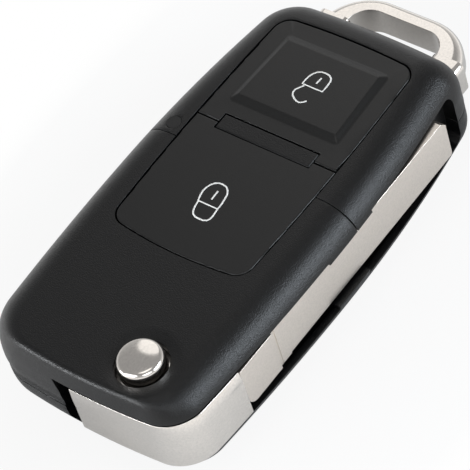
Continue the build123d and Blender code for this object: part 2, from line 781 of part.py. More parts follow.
def blade_pin():
    """Slotted spring pin that holds the blade in its carrier."""
    z0 = carrier_bottom_z + blade_pin_recess
    z1 = carrier_top_z - blade_pin_recess
    half_slit = blade_pin_slit / 2
    pin = post(pin_x, pin_y, blade_pin_radius, z0, z1) - post(pin_x, pin_y, blade_pin_bore, z0, z1)
    return pin - box(pin_x, pin_x + blade_pin_radius, pin_y - half_slit, pin_y + half_slit, z0, z1)


def release_head(bottom):
    """Turned head of the release button: a low dome with a rounded edge."""
    rise = release_apex_z - release_rim_z
    ball = (release_radius**2 + rise**2) / (2 * rise)
    halfway = release_radius / 2
    shoulder = (release_radius, release_rim_z)
    on_dome = (halfway, release_apex_z - ball + math.sqrt(ball**2 - halfway**2))
    edges = [
        Line((0, bottom), (release_radius, bottom)),
        Line((release_radius, bottom), shoulder),
        ThreePointArc(shoulder, on_dome, (0, release_apex_z)),
        Line((0, release_apex_z), (0, bottom)),
    ]
    section = rounded(make_face(edges).face(), shoulder, release_edge)
    return Pos(pivot_x, pivot_y) * revolve(Plane.XZ * section, Axis.Z)


def release_button():
    """Domed push button with its collar, lugs and splined skirt."""
    collar_top = ceiling_z - release_collar_clearance
    collar_bottom = collar_top - release_collar
    button = release_head(collar_bottom)
    button += post(pivot_x, pivot_y, release_collar_radius, collar_bottom, collar_top)
    lug = release_collar_radius + lug_reach
    lug_half = lug_width / 2
    lugs = box(
        pivot_x - lug, pivot_x + lug, pivot_y - lug_half, pivot_y + lug_half, collar_bottom, collar_top
    )
    button += lugs & post(pivot_x, pivot_y, lug, collar_bottom, collar_top)
    button += post(pivot_x, pivot_y, skirt_radius, skirt_bottom_z, collar_bottom)
    reach = skirt_radius + spline_reach
    button += box(
        pivot_x - reach, pivot_x + reach,
        pivot_y - spline_width / 2, pivot_y + spline_width / 2, skirt_bottom_z, collar_bottom,
    )
    return button - post(pivot_x, pivot_y, skirt_bore, skirt_bottom_z, collar_bottom)


def flip_spring():
    """Coil that lifts the release button and throws the blade open."""
    end_gap = spring_wire / 2 + spring_clearance
    bottom = trough_z + end_gap
    height = ceiling_z - release_collar_clearance - release_collar - end_gap - bottom
    path = Helix(height / spring_turns, height, spring_radius)
    section = Plane(origin=path @ 0, z_dir=path % 0) * Circle(spring_wire / 2)
    coil = sweep(section, path=path)
    return Pos(pivot_x, pivot_y, bottom) * coil


def transponder_cover():
    """Lid over the transponder chip's pocket."""
    x0 = chip_x - chip_wall
    x1 = x0 + chip_width + 2 * chip_wall
    y0 = chip_y - chip_wall
    y1 = y0 + chip_length + 2 * chip_wall
    z0 = wall + chip_depth
    inset = chip_wall + cover_fit
    lid = box(x0, x1, y0, y1, z0, z0 + cover_thickness)
    return lid + box(x0 + inset, x1 - inset, y0 + inset, y1 - inset, z0 - cover_plug, z0)


def head_screw():
    """Small cross-head screw, sunk in a well, that closes the key head from the back."""
    head_top = screw_sink + screw_head
    screw = post(screw_x, screw_y, screw_head_radius, screw_sink, head_top)
    shank_radius = screw_radius - screw_pilot_fit
    screw += post(screw_x, screw_y, shank_radius, head_top, head_top + screw_length)
    cross = Box(screw_cross_length, screw_cross_width, screw_cross_depth)
    cross += Box(screw_cross_width, screw_cross_length, screw_cross_depth)
    return screw - Pos(screw_x, screw_y, screw_sink + screw_cross_depth / 2) * cross


def battery_clamp():
    """Bent strip of spring steel across the coin cell's seat."""
    reach = cell_radius + clamp_inset
    y0 = cell_y - clamp_width / 2
    y1 = cell_y + clamp_width / 2
    top = wall + clamp_height
    strip = box(cell_x - reach, cell_x + reach, y0, y1, wall, wall + clamp_sheet)
    for side in (-1, 1):
        outer = cell_x + side * reach
        inner = outer - side * clamp_sheet
        hook = inner - side * clamp_hook
        strip += box(min(outer, inner), max(outer, inner), y0, y1, wall, top)
        strip += box(min(inner, hook), max(inner, hook), y0, y1, top - clamp_sheet, top)
    return strip


def loop_outline(x1, half, corner):
    """Plan of the loop, or of the hole in it: square behind the ring end and rounded in front."""
    x0 = far_x - tang_depth
    face = Pos((x0 + x1) / 2, 0) * Rectangle(x1 - x0, 2 * half)
    face = rounded(face.face(), (x1, -half), corner)
    return rounded(face, (x1, half), corner)


def key_ring_loop():
    """Cast loop at the ring end, with collars on the case and two feet that pegs hold inside."""
    x1 = far_x + loop_reach
    solid = prism(loop_outline(x1, loop_half_width, loop_corner), loop_bottom_z, loop_top_z)
    solid = fillet(solid.edges().group_by(Axis.Z)[0] + solid.edges().group_by(Axis.Z)[-1], loop_round)
    hole = loop_outline(x1 - loop_bar, loop_hole_half_width, loop_hole_corner)
    loop = solid - prism(hole, loop_bottom_z, loop_top_z)
    loop &= box(far_x, x1, -belly_width, belly_width, 0, thickness)
    for side in (-1, 1):
        inner = side * (loop_hole_half_width - loop_collar_step)
        outer = side * (loop_half_width + loop_collar_step)
        collar = box(
            far_x, far_x + loop_collar, min(inner, outer), max(inner, outer),
            loop_bottom_z - loop_collar_step, loop_top_z + loop_collar_step,
        )
        loop += fillet(collar.edges().filter_by(Axis.X), loop_collar_round)
        loop += loop_socket(side, 0)
        loop -= peg(side, peg_radius + foot_clearance, 0, thickness)
    return loop


upper = upper_body()
lower = lower_body(0.0)
room = cavity()
nodes = {
    "head_upper_case": head_upper_case(upper, room),
    "head_lower_case": head_lower_case(lower, room),
    "remote_upper_case": remote_upper_case(upper, room),
    "remote_lower_case": remote_lower_case(lower, room),
    "unlock_button": unlock_button(),
    "lock_button": lock_button(),
    "centre_strip": centre_strip(),
    "button_mat": button_mat(),
    "indicator_window": indicator_window(),
    "blade_carrier": blade_carrier(upper),
    "key_blade": key_blade(),
    "blade_pin": blade_pin(),
    "release_button": release_button(),
    "flip_spring": flip_spring(),
    "transponder_cover": transponder_cover(),
    "head_screw": head_screw(),
    "battery_clamp": battery_clamp(),
    "key_ring_loop": key_ring_loop(),
}

os.makedirs("parts", exist_ok=True)
for name, shape in nodes.items():
    export_step(shape, f"parts/{name}.step")
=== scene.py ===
import json
import math

import bmesh
import bpy
from bpy.props import FloatProperty, FloatVectorProperty, PointerProperty
from mathutils import Matrix, Vector
from mathutils.geometry import intersect_point_line


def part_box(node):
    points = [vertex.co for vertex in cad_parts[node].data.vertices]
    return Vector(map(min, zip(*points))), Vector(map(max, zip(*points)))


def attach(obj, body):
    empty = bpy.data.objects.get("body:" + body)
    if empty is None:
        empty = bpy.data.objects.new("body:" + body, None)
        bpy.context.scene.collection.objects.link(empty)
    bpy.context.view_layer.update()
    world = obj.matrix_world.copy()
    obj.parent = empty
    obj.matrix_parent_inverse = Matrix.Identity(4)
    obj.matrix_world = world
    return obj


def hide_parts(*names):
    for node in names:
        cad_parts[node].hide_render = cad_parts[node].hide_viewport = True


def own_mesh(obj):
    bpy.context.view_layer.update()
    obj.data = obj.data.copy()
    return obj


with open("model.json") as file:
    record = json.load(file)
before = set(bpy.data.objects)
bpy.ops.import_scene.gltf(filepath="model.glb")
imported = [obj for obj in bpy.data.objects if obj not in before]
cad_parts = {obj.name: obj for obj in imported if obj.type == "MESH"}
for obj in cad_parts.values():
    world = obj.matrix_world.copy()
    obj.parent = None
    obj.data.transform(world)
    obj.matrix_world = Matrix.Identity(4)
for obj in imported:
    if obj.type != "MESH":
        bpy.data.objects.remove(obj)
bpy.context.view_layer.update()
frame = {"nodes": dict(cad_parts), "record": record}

bl_info = {
    "name": "Key fob shell",
    "version": (1, 0, 0),
    "blender": (4, 5, 0),
    "location": "View3D > Sidebar > Key fob",
    "description": "Finishes a flip key fob shell: moulded case, folded blade, buttons, signs and loop",
    "category": "Add Mesh",
}

MM = 0.001

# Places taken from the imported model, in metres
BODIES = frame["record"]["behaviour"]["bodies"]
STRIP_START = 3.47 * MM           # from the seam between key head and remote to the centre strip
SEAM_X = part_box("centre_strip")[0].x - STRIP_START
TOP_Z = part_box("lock_button")[1].z
PLATEAU_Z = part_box("unlock_button")[1].z

# Mesh finishing, in metres and degrees
DOUBLES = 0.002 * MM              # points closer than this are one point
FLUSH = 0.01 * MM                 # heights closer than this are the same height
FLAT_ANGLE = 0.05                 # neighbouring faces that fold less than this count as one flat
SHARP_ANGLE = 35                  # edges that fold more than this are sharp
ROOM = 2.5                        # depth that a face needs for a rounding, in widths of the rounding
ROUNDING_STEPS = 2
FIELD_ANGLES = (20, 42)           # folds of the raised field's edges

# The carrier's outer wall is widest at the parting and has a slight waist above it
PARTING_Z = 6.8 * MM
WAIST_HEIGHT = 2.1 * MM
WAIST_REACH = 0.7 * MM            # points farther than this from the widest outline stay
LEDGE_AREA = 0.002 * MM ** 2      # faces smaller than this at the parting are left-overs
LEDGE_WIDTH = 0.03 * MM


def linear(hex_colour):
    """Linear colour of an sRGB hex value."""
    parts = [int(hex_colour[i:i + 2], 16) / 255 for i in (1, 3, 5)]
    return tuple(c / 12.92 if c <= 0.04045 else ((c + 0.055) / 1.055) ** 2.4 for c in parts)


# Sizes and colours that a user would change
class KeyFobSizes(bpy.types.PropertyGroup):
    """Sizes of the finish"""

    edge: FloatProperty(
        name="Edge rounding", description="Rounding of moulded edges",
        default=0.00005, subtype="DISTANCE", unit="LENGTH",
    )
    field_edge: FloatProperty(
        name="Raised field rounding", description="Rounding of the raised field's edges",
        default=0.00022, subtype="DISTANCE", unit="LENGTH",
    )
    sign_line: FloatProperty(
        name="Sign line", description="Width of the signs' lines",
        default=0.00022, subtype="DISTANCE", unit="LENGTH",
    )
    sign_rise: FloatProperty(
        name="Sign rise", description="Height of the signs' lines",
        default=0.00005, subtype="DISTANCE", unit="LENGTH",
    )


class KeyFobColours(bpy.types.PropertyGroup):
    """Colours of the finish"""

    case: FloatVectorProperty(
        name="Case", description="Textured black case",
        default=linear("#080809"), subtype="COLOR", size=3,
    )
    button: FloatVectorProperty(
        name="Buttons", description="Smooth black buttons",
        default=linear("#0b0b0b"), subtype="COLOR", size=3,
    )
    chrome: FloatVectorProperty(
        name="Chrome", description="Satin chrome on zinc",
        default=linear("#ece7e1"), subtype="COLOR", size=3,
    )
    blade: FloatVectorProperty(
        name="Blade", description="Dull nickel on the blade",
        default=linear("#f1e9e0"), subtype="COLOR", size=3,
    )
    sign: FloatVectorProperty(
        name="Signs", description="Silver ink of the signs",
        default=linear("#f0efec"), subtype="COLOR", size=3,
    )


# Materials
PLASTIC_IOR = 1.52                # ABS, and near enough for silicone, acrylic and ink
PLASTIC_ROUGHNESS_SPREAD = 0.14   # what makes the grain glitter inside a highlight
PLASTIC_CLOUD_MM = 9              # size of the faint clouds that handling leaves
PLASTIC_SHADES = (0.9, 1.12)      # darkest and palest share of the colour
METAL_CLOUD_MM = 5                # size of the duller and brighter places in the plating
METAL_SWELL_MM = 7                # length of the faint waves that plating leaves on a casting
METAL_SHADES = (0.86, 1.1)

MATERIALS = {}


def add(tree, kind, settings=None, links=None):
    """Add a node with its settings, and link its inputs by their name or number."""
    node = tree.nodes.new(kind)
    for key, value in (settings or {}).items():
        if isinstance(key, str) and hasattr(node, key):
            setattr(node, key, value)
        else:
            node.inputs[key].default_value = value
    for key, source in (links or {}).items():
        tree.links.new(source, node.inputs[key])
    return node


def new_material(name):
    """Empty node material with its output, as (material, tree, output)."""
    material = bpy.data.materials.new(name)
    material.use_nodes = True
    tree = material.node_tree
    tree.nodes.clear()
    return material, tree, add(tree, "ShaderNodeOutputMaterial")


def moulded_plastic(name, colour, roughness, grain_mm, depth_mm, shine):
    """Moulded plastic: a fine grain in roughness and relief, and a faint clouding of its colour."""
    material, tree, out = new_material(name)
    place = add(tree, "ShaderNodeTexCoord").outputs["Object"]
    grain = add(tree, "ShaderNodeTexNoise", {"Scale": 1 / (grain_mm * MM), "Detail": 2.0}, {"Vector": place})
    cloud = add(
        tree, "ShaderNodeTexNoise", {"Scale": 1 / (PLASTIC_CLOUD_MM * MM), "Detail": 3.0}, {"Vector": place}
    )
    rough = add(
        tree, "ShaderNodeMapRange",
        {"To Min": roughness - PLASTIC_ROUGHNESS_SPREAD, "To Max": roughness + PLASTIC_ROUGHNESS_SPREAD},
        {"Value": grain.outputs["Fac"]},
    )
    shade = add(
        tree, "ShaderNodeMapRange", {"To Min": PLASTIC_SHADES[0], "To Max": PLASTIC_SHADES[1]},
        {"Value": cloud.outputs["Fac"]},
    )
    tint = add(
        tree, "ShaderNodeVectorMath", {"operation": "SCALE", 0: colour}, {"Scale": shade.outputs["Result"]}
    )
    bump = add(
        tree, "ShaderNodeBump", {"Strength": 1.0, "Distance": depth_mm * MM},
        {"Height": grain.outputs["Fac"]},
    )
    shader = add(
        tree, "ShaderNodeBsdfPrincipled", {"IOR": PLASTIC_IOR, "Specular IOR Level": shine},
        {
            "Base Color": tint.outputs["Vector"],
            "Roughness": rough.outputs["Result"],
            "Normal": bump.outputs["Normal"],
        },
    )
    tree.links.new(shader.outputs["BSDF"], out.inputs["Surface"])
    return material


def metal(name, colour, roughness, spread, grain_mm, depth_mm, swell_depth_mm):
    """Plated or rolled metal: clouded roughness, fine grain, and the slow waves of a casting."""
    material, tree, out = new_material(name)
    place = add(tree, "ShaderNodeTexCoord").outputs["Object"]
    grain = add(tree, "ShaderNodeTexNoise", {"Scale": 1 / (grain_mm * MM), "Detail": 3.0}, {"Vector": place})
    cloud = add(
        tree, "ShaderNodeTexNoise", {"Scale": 1 / (METAL_CLOUD_MM * MM), "Detail": 3.0}, {"Vector": place}
    )
    wave = add(
        tree, "ShaderNodeTexNoise", {"Scale": 1 / (METAL_SWELL_MM * MM), "Detail": 0.0}, {"Vector": place}
    )
    rough = add(
        tree, "ShaderNodeMapRange", {"To Min": roughness - spread, "To Max": roughness + spread},
        {"Value": cloud.outputs["Fac"]},
    )
    shade = add(
        tree, "ShaderNodeMapRange", {"To Min": METAL_SHADES[0], "To Max": METAL_SHADES[1]},
        {"Value": grain.outputs["Fac"]},
    )
    tint = add(
        tree, "ShaderNodeVectorMath", {"operation": "SCALE", 0: colour}, {"Scale": shade.outputs["Result"]}
    )
    swell = add(
        tree, "ShaderNodeBump", {"Strength": 1.0, "Distance": swell_depth_mm * MM},
        {"Height": wave.outputs["Fac"]},
    )
    bump = add(
        tree, "ShaderNodeBump", {"Strength": 1.0, "Distance": depth_mm * MM},
        {"Height": grain.outputs["Fac"], "Normal": swell.outputs["Normal"]},
    )
    shader = add(
        tree, "ShaderNodeBsdfPrincipled", {"Metallic": 1.0},
        {
            "Base Color": tint.outputs["Vector"],
            "Roughness": rough.outputs["Result"],
            "Normal": bump.outputs["Normal"],
        },
    )
    tree.links.new(shader.outputs["BSDF"], out.inputs["Surface"])
    return material


class KEYFOB_OT_materials(bpy.types.Operator):
    """Plastics, metals, silicone and ink"""

    bl_idname = "keyfob.materials"
    bl_label = "Materials"

    def execute(self, context):
        colours = context.scene.keyfob_colours

        # ABS from a spark-eroded mould. Its matt grain spreads a lamp into a broad sheen that
        # glitters a little. The real grain is about 0.05 mm: it is drawn coarser, so that it shows.
        MATERIALS["case_plastic"] = moulded_plastic(
            "spark_textured_abs", tuple(colours.case),
            roughness=0.34, grain_mm=0.17, depth_mm=0.05, shine=0.4,
        )

        # ABS from a finer mould face. The buttons look smoother and a touch glossier than the case.
        # The real grain is about 0.03 mm, and is drawn coarser too.
        MATERIALS["button_plastic"] = moulded_plastic(
            "satin_abs", tuple(colours.button),
            roughness=0.34, grain_mm=0.14, depth_mm=0.01, shine=0.48,
        )

        # Die-cast zinc with satin chrome. Reflections are clear but soft, a little clouded by
        # handling, and bent by the casting's slow waves.
        MATERIALS["chrome_plate"] = metal(
            "satin_chrome_on_zinc", tuple(colours.chrome),
            roughness=0.14, spread=0.04, grain_mm=0.3, depth_mm=0.002, swell_depth_mm=0.3,
        )

        # Milled blank with dull nickel. It mirrors no shapes, only broad light and shade.
        MATERIALS["nickel_steel"] = metal(
            "dull_nickel", tuple(colours.blade),
            roughness=0.32, spread=0.05, grain_mm=0.2, depth_mm=0.003, swell_depth_mm=0.1,
        )

        # Drawn wire and rolled strip. Greyer than the plated pieces, with a plain metallic shine.
        MATERIALS["spring_steel"] = metal(
            "bright_spring_steel", linear("#a9abad"),
            roughness=0.28, spread=0.05, grain_mm=0.2, depth_mm=0.0008, swell_depth_mm=0.0,
        )

        # Moulded silicone rubber. Dull and even, with hardly any highlight.
        MATERIALS["silicone"] = moulded_plastic(
            "grey_silicone", linear("#6d6e70"),
            roughness=0.6, grain_mm=0.2, depth_mm=0.004, shine=0.4,
        )

        # Dark acrylic pin. Unlit, it reads as a dot slightly glossier than the case round it.
        MATERIALS["clear_plastic"] = moulded_plastic(
            "smoked_acrylic", linear("#0a0a0b"),
            roughness=0.4, grain_mm=0.3, depth_mm=0.012, shine=0.5,
        )

        # Pad-printed silver ink. A thin pale line that stays readable from every side.
        MATERIALS["sign_paint"] = moulded_plastic(
            "silver_pad_print", tuple(colours.sign),
            roughness=0.35, grain_mm=0.1, depth_mm=0.001, shine=0.5,
        )
        return {"FINISHED"}


# Meshes
def set_smooth(piece):
    """Smooth shading with sharp edges kept."""
    mesh = piece.data
    mesh.polygons.foreach_set("use_smooth", [True] * len(mesh.polygons))
    mesh.set_sharp_from_angle(angle=math.radians(SHARP_ANGLE))
    mesh.update()


def split_rings(bm):
    """Cut the faces that still touch a coplanar one, such as those round a hole, into triangles."""
    rings = {
        face for edge in bm.edges
        if len(edge.link_faces) == 2 and edge.calc_face_angle(math.pi) < math.radians(FLAT_ANGLE)
        for face in edge.link_faces
    }
    bmesh.ops.triangulate(bm, faces=list(rings))


def face_depth(edge, face):
    """How far a face reaches from one of its edges."""
    start, end = (vert.co for vert in edge.verts)
    along = (end - start).normalized()
    reaches = [vert.co - start for vert in face.verts]
    return max((reach - along * reach.dot(along)).length for reach in reaches)


def weigh_edges(bm, width):
    """Mark the sharp edges whose faces have room for a rounding of this width."""
    layer = bm.edges.layers.float.new("bevel_weight_edge")
    for line in bm.edges:
        if len(line.link_faces) != 2 or line.calc_face_angle(0.0) < math.radians(SHARP_ANGLE):
            continue
        if min(face_depth(line, face) for face in line.link_faces) > ROOM * width:
            line[layer] = 1.0


def weigh_field(bm, width, field_width):
    """Give the foot, crest and corners of the raised field their own, wider rounding."""
    layer = bm.edges.layers.float["bevel_weight_edge"]
    for line in bm.edges:
        line[layer] *= width / field_width
        low = min(vert.co.z for vert in line.verts)
        angle = math.degrees(line.calc_face_angle(0.0))
        if low > TOP_Z - FLUSH and FIELD_ANGLES[0] < angle < FIELD_ANGLES[1]:
            line[layer] = 1.0


def fill_waist(bm):
    """Draw the carrier's outer wall above the parting out to its plan, so that one smooth face shows."""
    outline = [vert.co.xy for vert in bm.verts if abs(vert.co.z - PARTING_Z) < FLUSH]
    outline.sort(key=lambda point: -point.y)
    for vert in bm.verts:
        height = vert.co.z - PARTING_Z
        if not FLUSH < height < WAIST_HEIGHT:
            continue
        for start, end in zip(outline, outline[1:]):
            nearest, along = intersect_point_line(vert.co.xy, start, end)
            shift = nearest - vert.co.xy
            if 0 <= along <= 1 and shift.length < WAIST_REACH:
                vert.co.xy += shift * (1 - (height / WAIST_HEIGHT) ** 2)
                break


def close_ledge(bm):
    """Close up the thin faces that are left at the parting where the waist was filled."""
    thin = [
        face for face in bm.faces
        if abs(face.calc_center_median().z - PARTING_Z) < FLUSH and face.calc_area() < LEDGE_AREA
    ]
    edges = list({edge for face in thin for edge in face.edges})
    bmesh.ops.dissolve_degenerate(bm, dist=LEDGE_WIDTH, edges=edges)


def merged_copy(node, slot, width, field_width=None, waist=False):
    """Copy of a CAD node with its doubles merged, flat faces joined and crisp edges rounded."""
    mesh = frame["nodes"][node].data.copy()
    mesh.name = node + "_finish"
    bm = bmesh.new()
    bm.from_mesh(mesh)
    bmesh.ops.remove_doubles(bm, verts=bm.verts, dist=DOUBLES)
    if waist:
        fill_waist(bm)
    bmesh.ops.dissolve_limit(
        bm, angle_limit=math.radians(FLAT_ANGLE), use_dissolve_boundaries=False,
        verts=bm.verts, edges=bm.edges,
    )
    split_rings(bm)
    if waist:
        close_ledge(bm)
    weigh_edges(bm, width)
    if field_width:
        weigh_field(bm, width, field_width)
    bm.to_mesh(mesh)
    bm.free()
    mesh.materials.clear()
    mesh.materials.append(MATERIALS[slot])
    mesh.polygons.foreach_set("material_index", [0] * len(mesh.polygons))
    piece = bpy.data.objects.new(node + "_finish", mesh)
    bpy.context.scene.collection.objects.link(piece)
    if width:
        round_edges(piece, field_width or width)
    set_smooth(piece)
    weighted = piece.modifiers.new("weighted", "WEIGHTED_NORMAL")
    weighted.keep_sharp = True
    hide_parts(node)
    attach(piece, body_of(node))
    return piece


def round_edges(piece, width):
    """Round the edges of a piece by their weight, and leave it a plain mesh."""
    bevel = piece.modifiers.new("edges", "BEVEL")
    bevel.width = width
    bevel.segments = ROUNDING_STEPS
    bevel.limit_method = "WEIGHT"
    bevel.use_clamp_overlap = False
    bevel.miter_outer = "MITER_ARC"
    bevel.harden_normals = False
    mesh = plain_mesh(piece)
    piece.modifiers.clear()
    piece.data = mesh


def plain_mesh(piece):
    """Mesh of a piece with its modifiers applied."""
    return bpy.data.meshes.new_from_object(piece.evaluated_get(bpy.context.evaluated_depsgraph_get()))


def body_of(node):
    """Name of the body that a CAD node belongs to."""
    return next(name for name, members in BODIES.items() if node in members)


class KEYFOB_OT_case(bpy.types.Operator):
    """Moulded shells of the key head and the remote"""

    bl_idname = "keyfob.case"
    bl_label = "Case shells"

    def execute(self, context):
        edge = context.scene.keyfob_sizes.edge
        for node in ("head_upper_case", "head_lower_case", "remote_upper_case", "remote_lower_case"):
            merged_copy(node, "case_plastic", edge)
        return {"FINISHED"}


class KEYFOB_OT_buttons(bpy.types.Operator):
    """Remote buttons and the strip between them"""

    bl_idname = "keyfob.buttons"
    bl_label = "Buttons"

    def execute(self, context):
        sizes = context.scene.keyfob_sizes
        merged_copy("unlock_button", "button_plastic", sizes.edge, field_width=sizes.field_edge)
        merged_copy("lock_button", "button_plastic", sizes.edge)
        merged_copy("centre_strip", "case_plastic", sizes.edge)
        return {"FINISHED"}


class KEYFOB_OT_metal(bpy.types.Operator):
    """Carrier, blade, release button and key ring loop"""

    bl_idname = "keyfob.metal"
    bl_label = "Metal pieces"

    def execute(self, context):
        edge = context.scene.keyfob_sizes.edge
        merged_copy("blade_carrier", "chrome_plate", edge, waist=True)
        merged_copy("release_button", "chrome_plate", edge)
        merged_copy("key_ring_loop", "chrome_plate", edge)
        merged_copy("key_blade", "nickel_steel", edge)
        return {"FINISHED"}


class KEYFOB_OT_inside(bpy.types.Operator):
    """Small pieces inside the case, left with their crisp edges"""

    bl_idname = "keyfob.inside"
    bl_label = "Inside pieces"

    def execute(self, context):
        for node in ("blade_pin", "head_screw", "battery_clamp"):
            merged_copy(node, "spring_steel", 0)
        spring = merged_copy("flip_spring", "spring_steel", 0)
        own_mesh(spring)
        merged_copy("button_mat", "silicone", 0)
        merged_copy("transponder_cover", "case_plastic", 0)
        merged_copy("indicator_window", "clear_plastic", 0)
        return {"FINISHED"}


# Signs on the buttons: outlines in millimetres from the seam and the middle line
UNLOCK_BODY = [
    (14.2, 1.15), (14.9, 1.18), (15.6, 1.1), (16.2, 0.86), (16.66, 0.5), (16.93, 0.0), (16.98, -0.6),
    (16.9, -1.25), (16.58, -1.75), (16.1, -1.98), (15.1, -2.07), (14.2, -2.02),
]
UNLOCK_SHACKLE = [
    (14.05, 0.72), (13.4, 1.16), (12.95, 1.42), (12.5, 1.4), (12.06, 1.14), (11.65, 0.58), (11.42, 0.02),
    (11.42, -0.4), (11.68, -0.8), (12.05, -1.12),
]
UNLOCK_SLIT = [(14.98, -0.51), (16.06, -0.6)]
LOCK_BODY = [
    (-7.32, 2.0), (-6.5, 2.27), (-5.75, 2.4), (-5.13, 2.34), (-4.53, 2.11), (-4.06, 1.73), (-3.82, 1.25),
    (-3.78, 0.64), (-3.92, 0.0), (-4.34, -0.5), (-4.9, -0.83), (-5.64, -0.97), (-6.4, -1.08), (-7.3, -1.12),
]
LOCK_SHACKLE = [
    (-7.4, 1.92), (-8.29, 1.77), (-8.94, 1.55), (-9.4, 1.2), (-9.6, 0.72), (-9.63, 0.1), (-9.6, -0.5),
    (-9.4, -0.98), (-9.05, -1.2), (-8.5, -1.25), (-7.35, -1.12),
]
LOCK_SLIT = [(-6.42, 0.54), (-4.95, 0.6)]


def line_tree(material):
    """Geometry Nodes: a line drawn along each path, with its width and height as inputs."""
    tree = bpy.data.node_groups.new("drawn_line", "GeometryNodeTree")
    tree.interface.new_socket("Geometry", in_out="INPUT", socket_type="NodeSocketGeometry")
    for name in ("Width", "Height"):
        tree.interface.new_socket(name, in_out="INPUT", socket_type="NodeSocketFloat")
    tree.interface.new_socket("Geometry", in_out="OUTPUT", socket_type="NodeSocketGeometry")
    inputs = add(tree, "NodeGroupInput").outputs
    profile = add(
        tree, "GeometryNodeCurvePrimitiveQuadrilateral", {"mode": "RECTANGLE"},
        {"Width": inputs["Width"], "Height": inputs["Height"]},
    )
    swept = add(
        tree, "GeometryNodeCurveToMesh", {"Fill Caps": True},
        {"Curve": inputs["Geometry"], "Profile Curve": profile.outputs["Curve"]},
    )
    real = add(tree, "GeometryNodeRealizeInstances", links={"Geometry": swept.outputs["Mesh"]})
    coloured = add(
        tree, "GeometryNodeSetMaterial", {"Material": material}, {"Geometry": real.outputs["Geometry"]}
    )
    add(tree, "NodeGroupOutput", links={"Geometry": coloured.outputs["Geometry"]})
    return tree


def drawn_sign(name, node, strokes, z, tree, sizes):
    """A sign of drawn lines on a button, as one plain mesh."""
    curve = bpy.data.curves.new(name, "CURVE")
    curve.dimensions = "3D"
    for points, closed in strokes:
        spline = curve.splines.new("POLY")
        spline.points.add(len(points) - 1)
        for point, (x, y) in zip(spline.points, points):
            point.co = (SEAM_X + x * MM, y * MM, z, 1)
        spline.use_cyclic_u = closed
    drawing = bpy.data.objects.new(name, curve)
    bpy.context.scene.collection.objects.link(drawing)
    modifier = drawing.modifiers.new("line", "NODES")
    modifier.node_group = tree
    sockets = {item.name: item.identifier for item in tree.interface.items_tree if item.in_out == "INPUT"}
    modifier[sockets["Width"]] = sizes.sign_line
    modifier[sockets["Height"]] = sizes.sign_rise
    mesh = plain_mesh(drawing)
    bpy.data.objects.remove(drawing)
    sign = bpy.data.objects.new(name, mesh)
    bpy.context.scene.collection.objects.link(sign)
    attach(sign, body_of(node))


class KEYFOB_OT_signs(bpy.types.Operator):
    """Lock and unlock signs on the buttons"""

    bl_idname = "keyfob.signs"
    bl_label = "Signs"

    def execute(self, context):
        sizes = context.scene.keyfob_sizes
        tree = line_tree(MATERIALS["sign_paint"])
        unlock = [(UNLOCK_BODY, True), (UNLOCK_SHACKLE, False), (UNLOCK_SLIT, False)]
        lock = [(LOCK_BODY, True), (LOCK_SHACKLE, False), (LOCK_SLIT, False)]
        drawn_sign("unlock_sign", "unlock_button", unlock, PLATEAU_Z, tree, sizes)
        drawn_sign("lock_sign", "lock_button", lock, TOP_Z, tree, sizes)
        return {"FINISHED"}


# Stage: camera as fitted to the photograph
CAMERA_FOCAL = 3000.0             # in pixels of the frame
FRAME_PIXELS = 470
SENSOR_MM = 36.0
CLIP_RANGE = (0.01, 20.0)
CAMERA_TURN = (-38.384, 49.185, -19.009)     # azimuth, elevation and roll, in degrees
CAMERA_SHIFT = (4.442, 0.535, 388.804)       # across, up and away from the seam, in millimetres

# World: its level falls from the horizon to this height, and gloss sees little of it
SKY_HEIGHTS = (0.0, 0.6)
SKY_LEVELS = (0.7, 0.27)
SKY_IN_GLOSS = 0.1

# Floor: white to the camera, with painted shade round the fob in its paper and in what gloss sees of it
FLOOR_HALF = 1.5
FLOOR_SINK = 0.02 * MM
FLOOR_WHITE = 0.9                 # share of plain white that the camera sees
FOOTPRINT = (0.48, 1, 0)          # scales that make the fob's outline about round
PAINTED_SHADE_RADII = (19 * MM, 45 * MM)  # where the painted shade round the fob starts to fade and where it ends
PAINTED_SHADE_GLOSS = 0.15                 # share of plain white that gloss sees beside the fob: painted shade in the floor's reflection
PAINTED_SHADE_TONES = (0.56, 0.86)        # paper beside the fob, darkened there as painted shade, and away from it

# Lamps: name, place, size, power in watts and colour. Each faces the middle of the fob.
LAMP_AIM = (0, 0, 0.01)
LAMPS = (
    ("softbox_right", (0.36, -0.8, 0.44), (0.8, 0.45), 6.5, (0.84, 0.92, 1.0)),
    ("softbox_far", (0.38, 0.26, 0.36), (0.3, 0.36), 0.2, (1.0, 0.98, 0.96)),
    ("softbox_left", (-0.72, 0.12, 0.42), (0.6, 0.6), 2.0, (0.94, 0.97, 1.0)),
    ("softbox_front", (-0.4, -0.62, 0.5), (0.6, 0.4), 1.3, (0.9, 0.95, 1.0)),
    ("softbox_low", (-0.66, 0.42, 0.1), (0.5, 0.18), 3.2, (0.94, 0.97, 1.0)),
    ("softbox_top", (-0.05, -0.05, 0.9), (0.45, 0.45), 0.5, (1.0, 0.99, 0.97)),
)


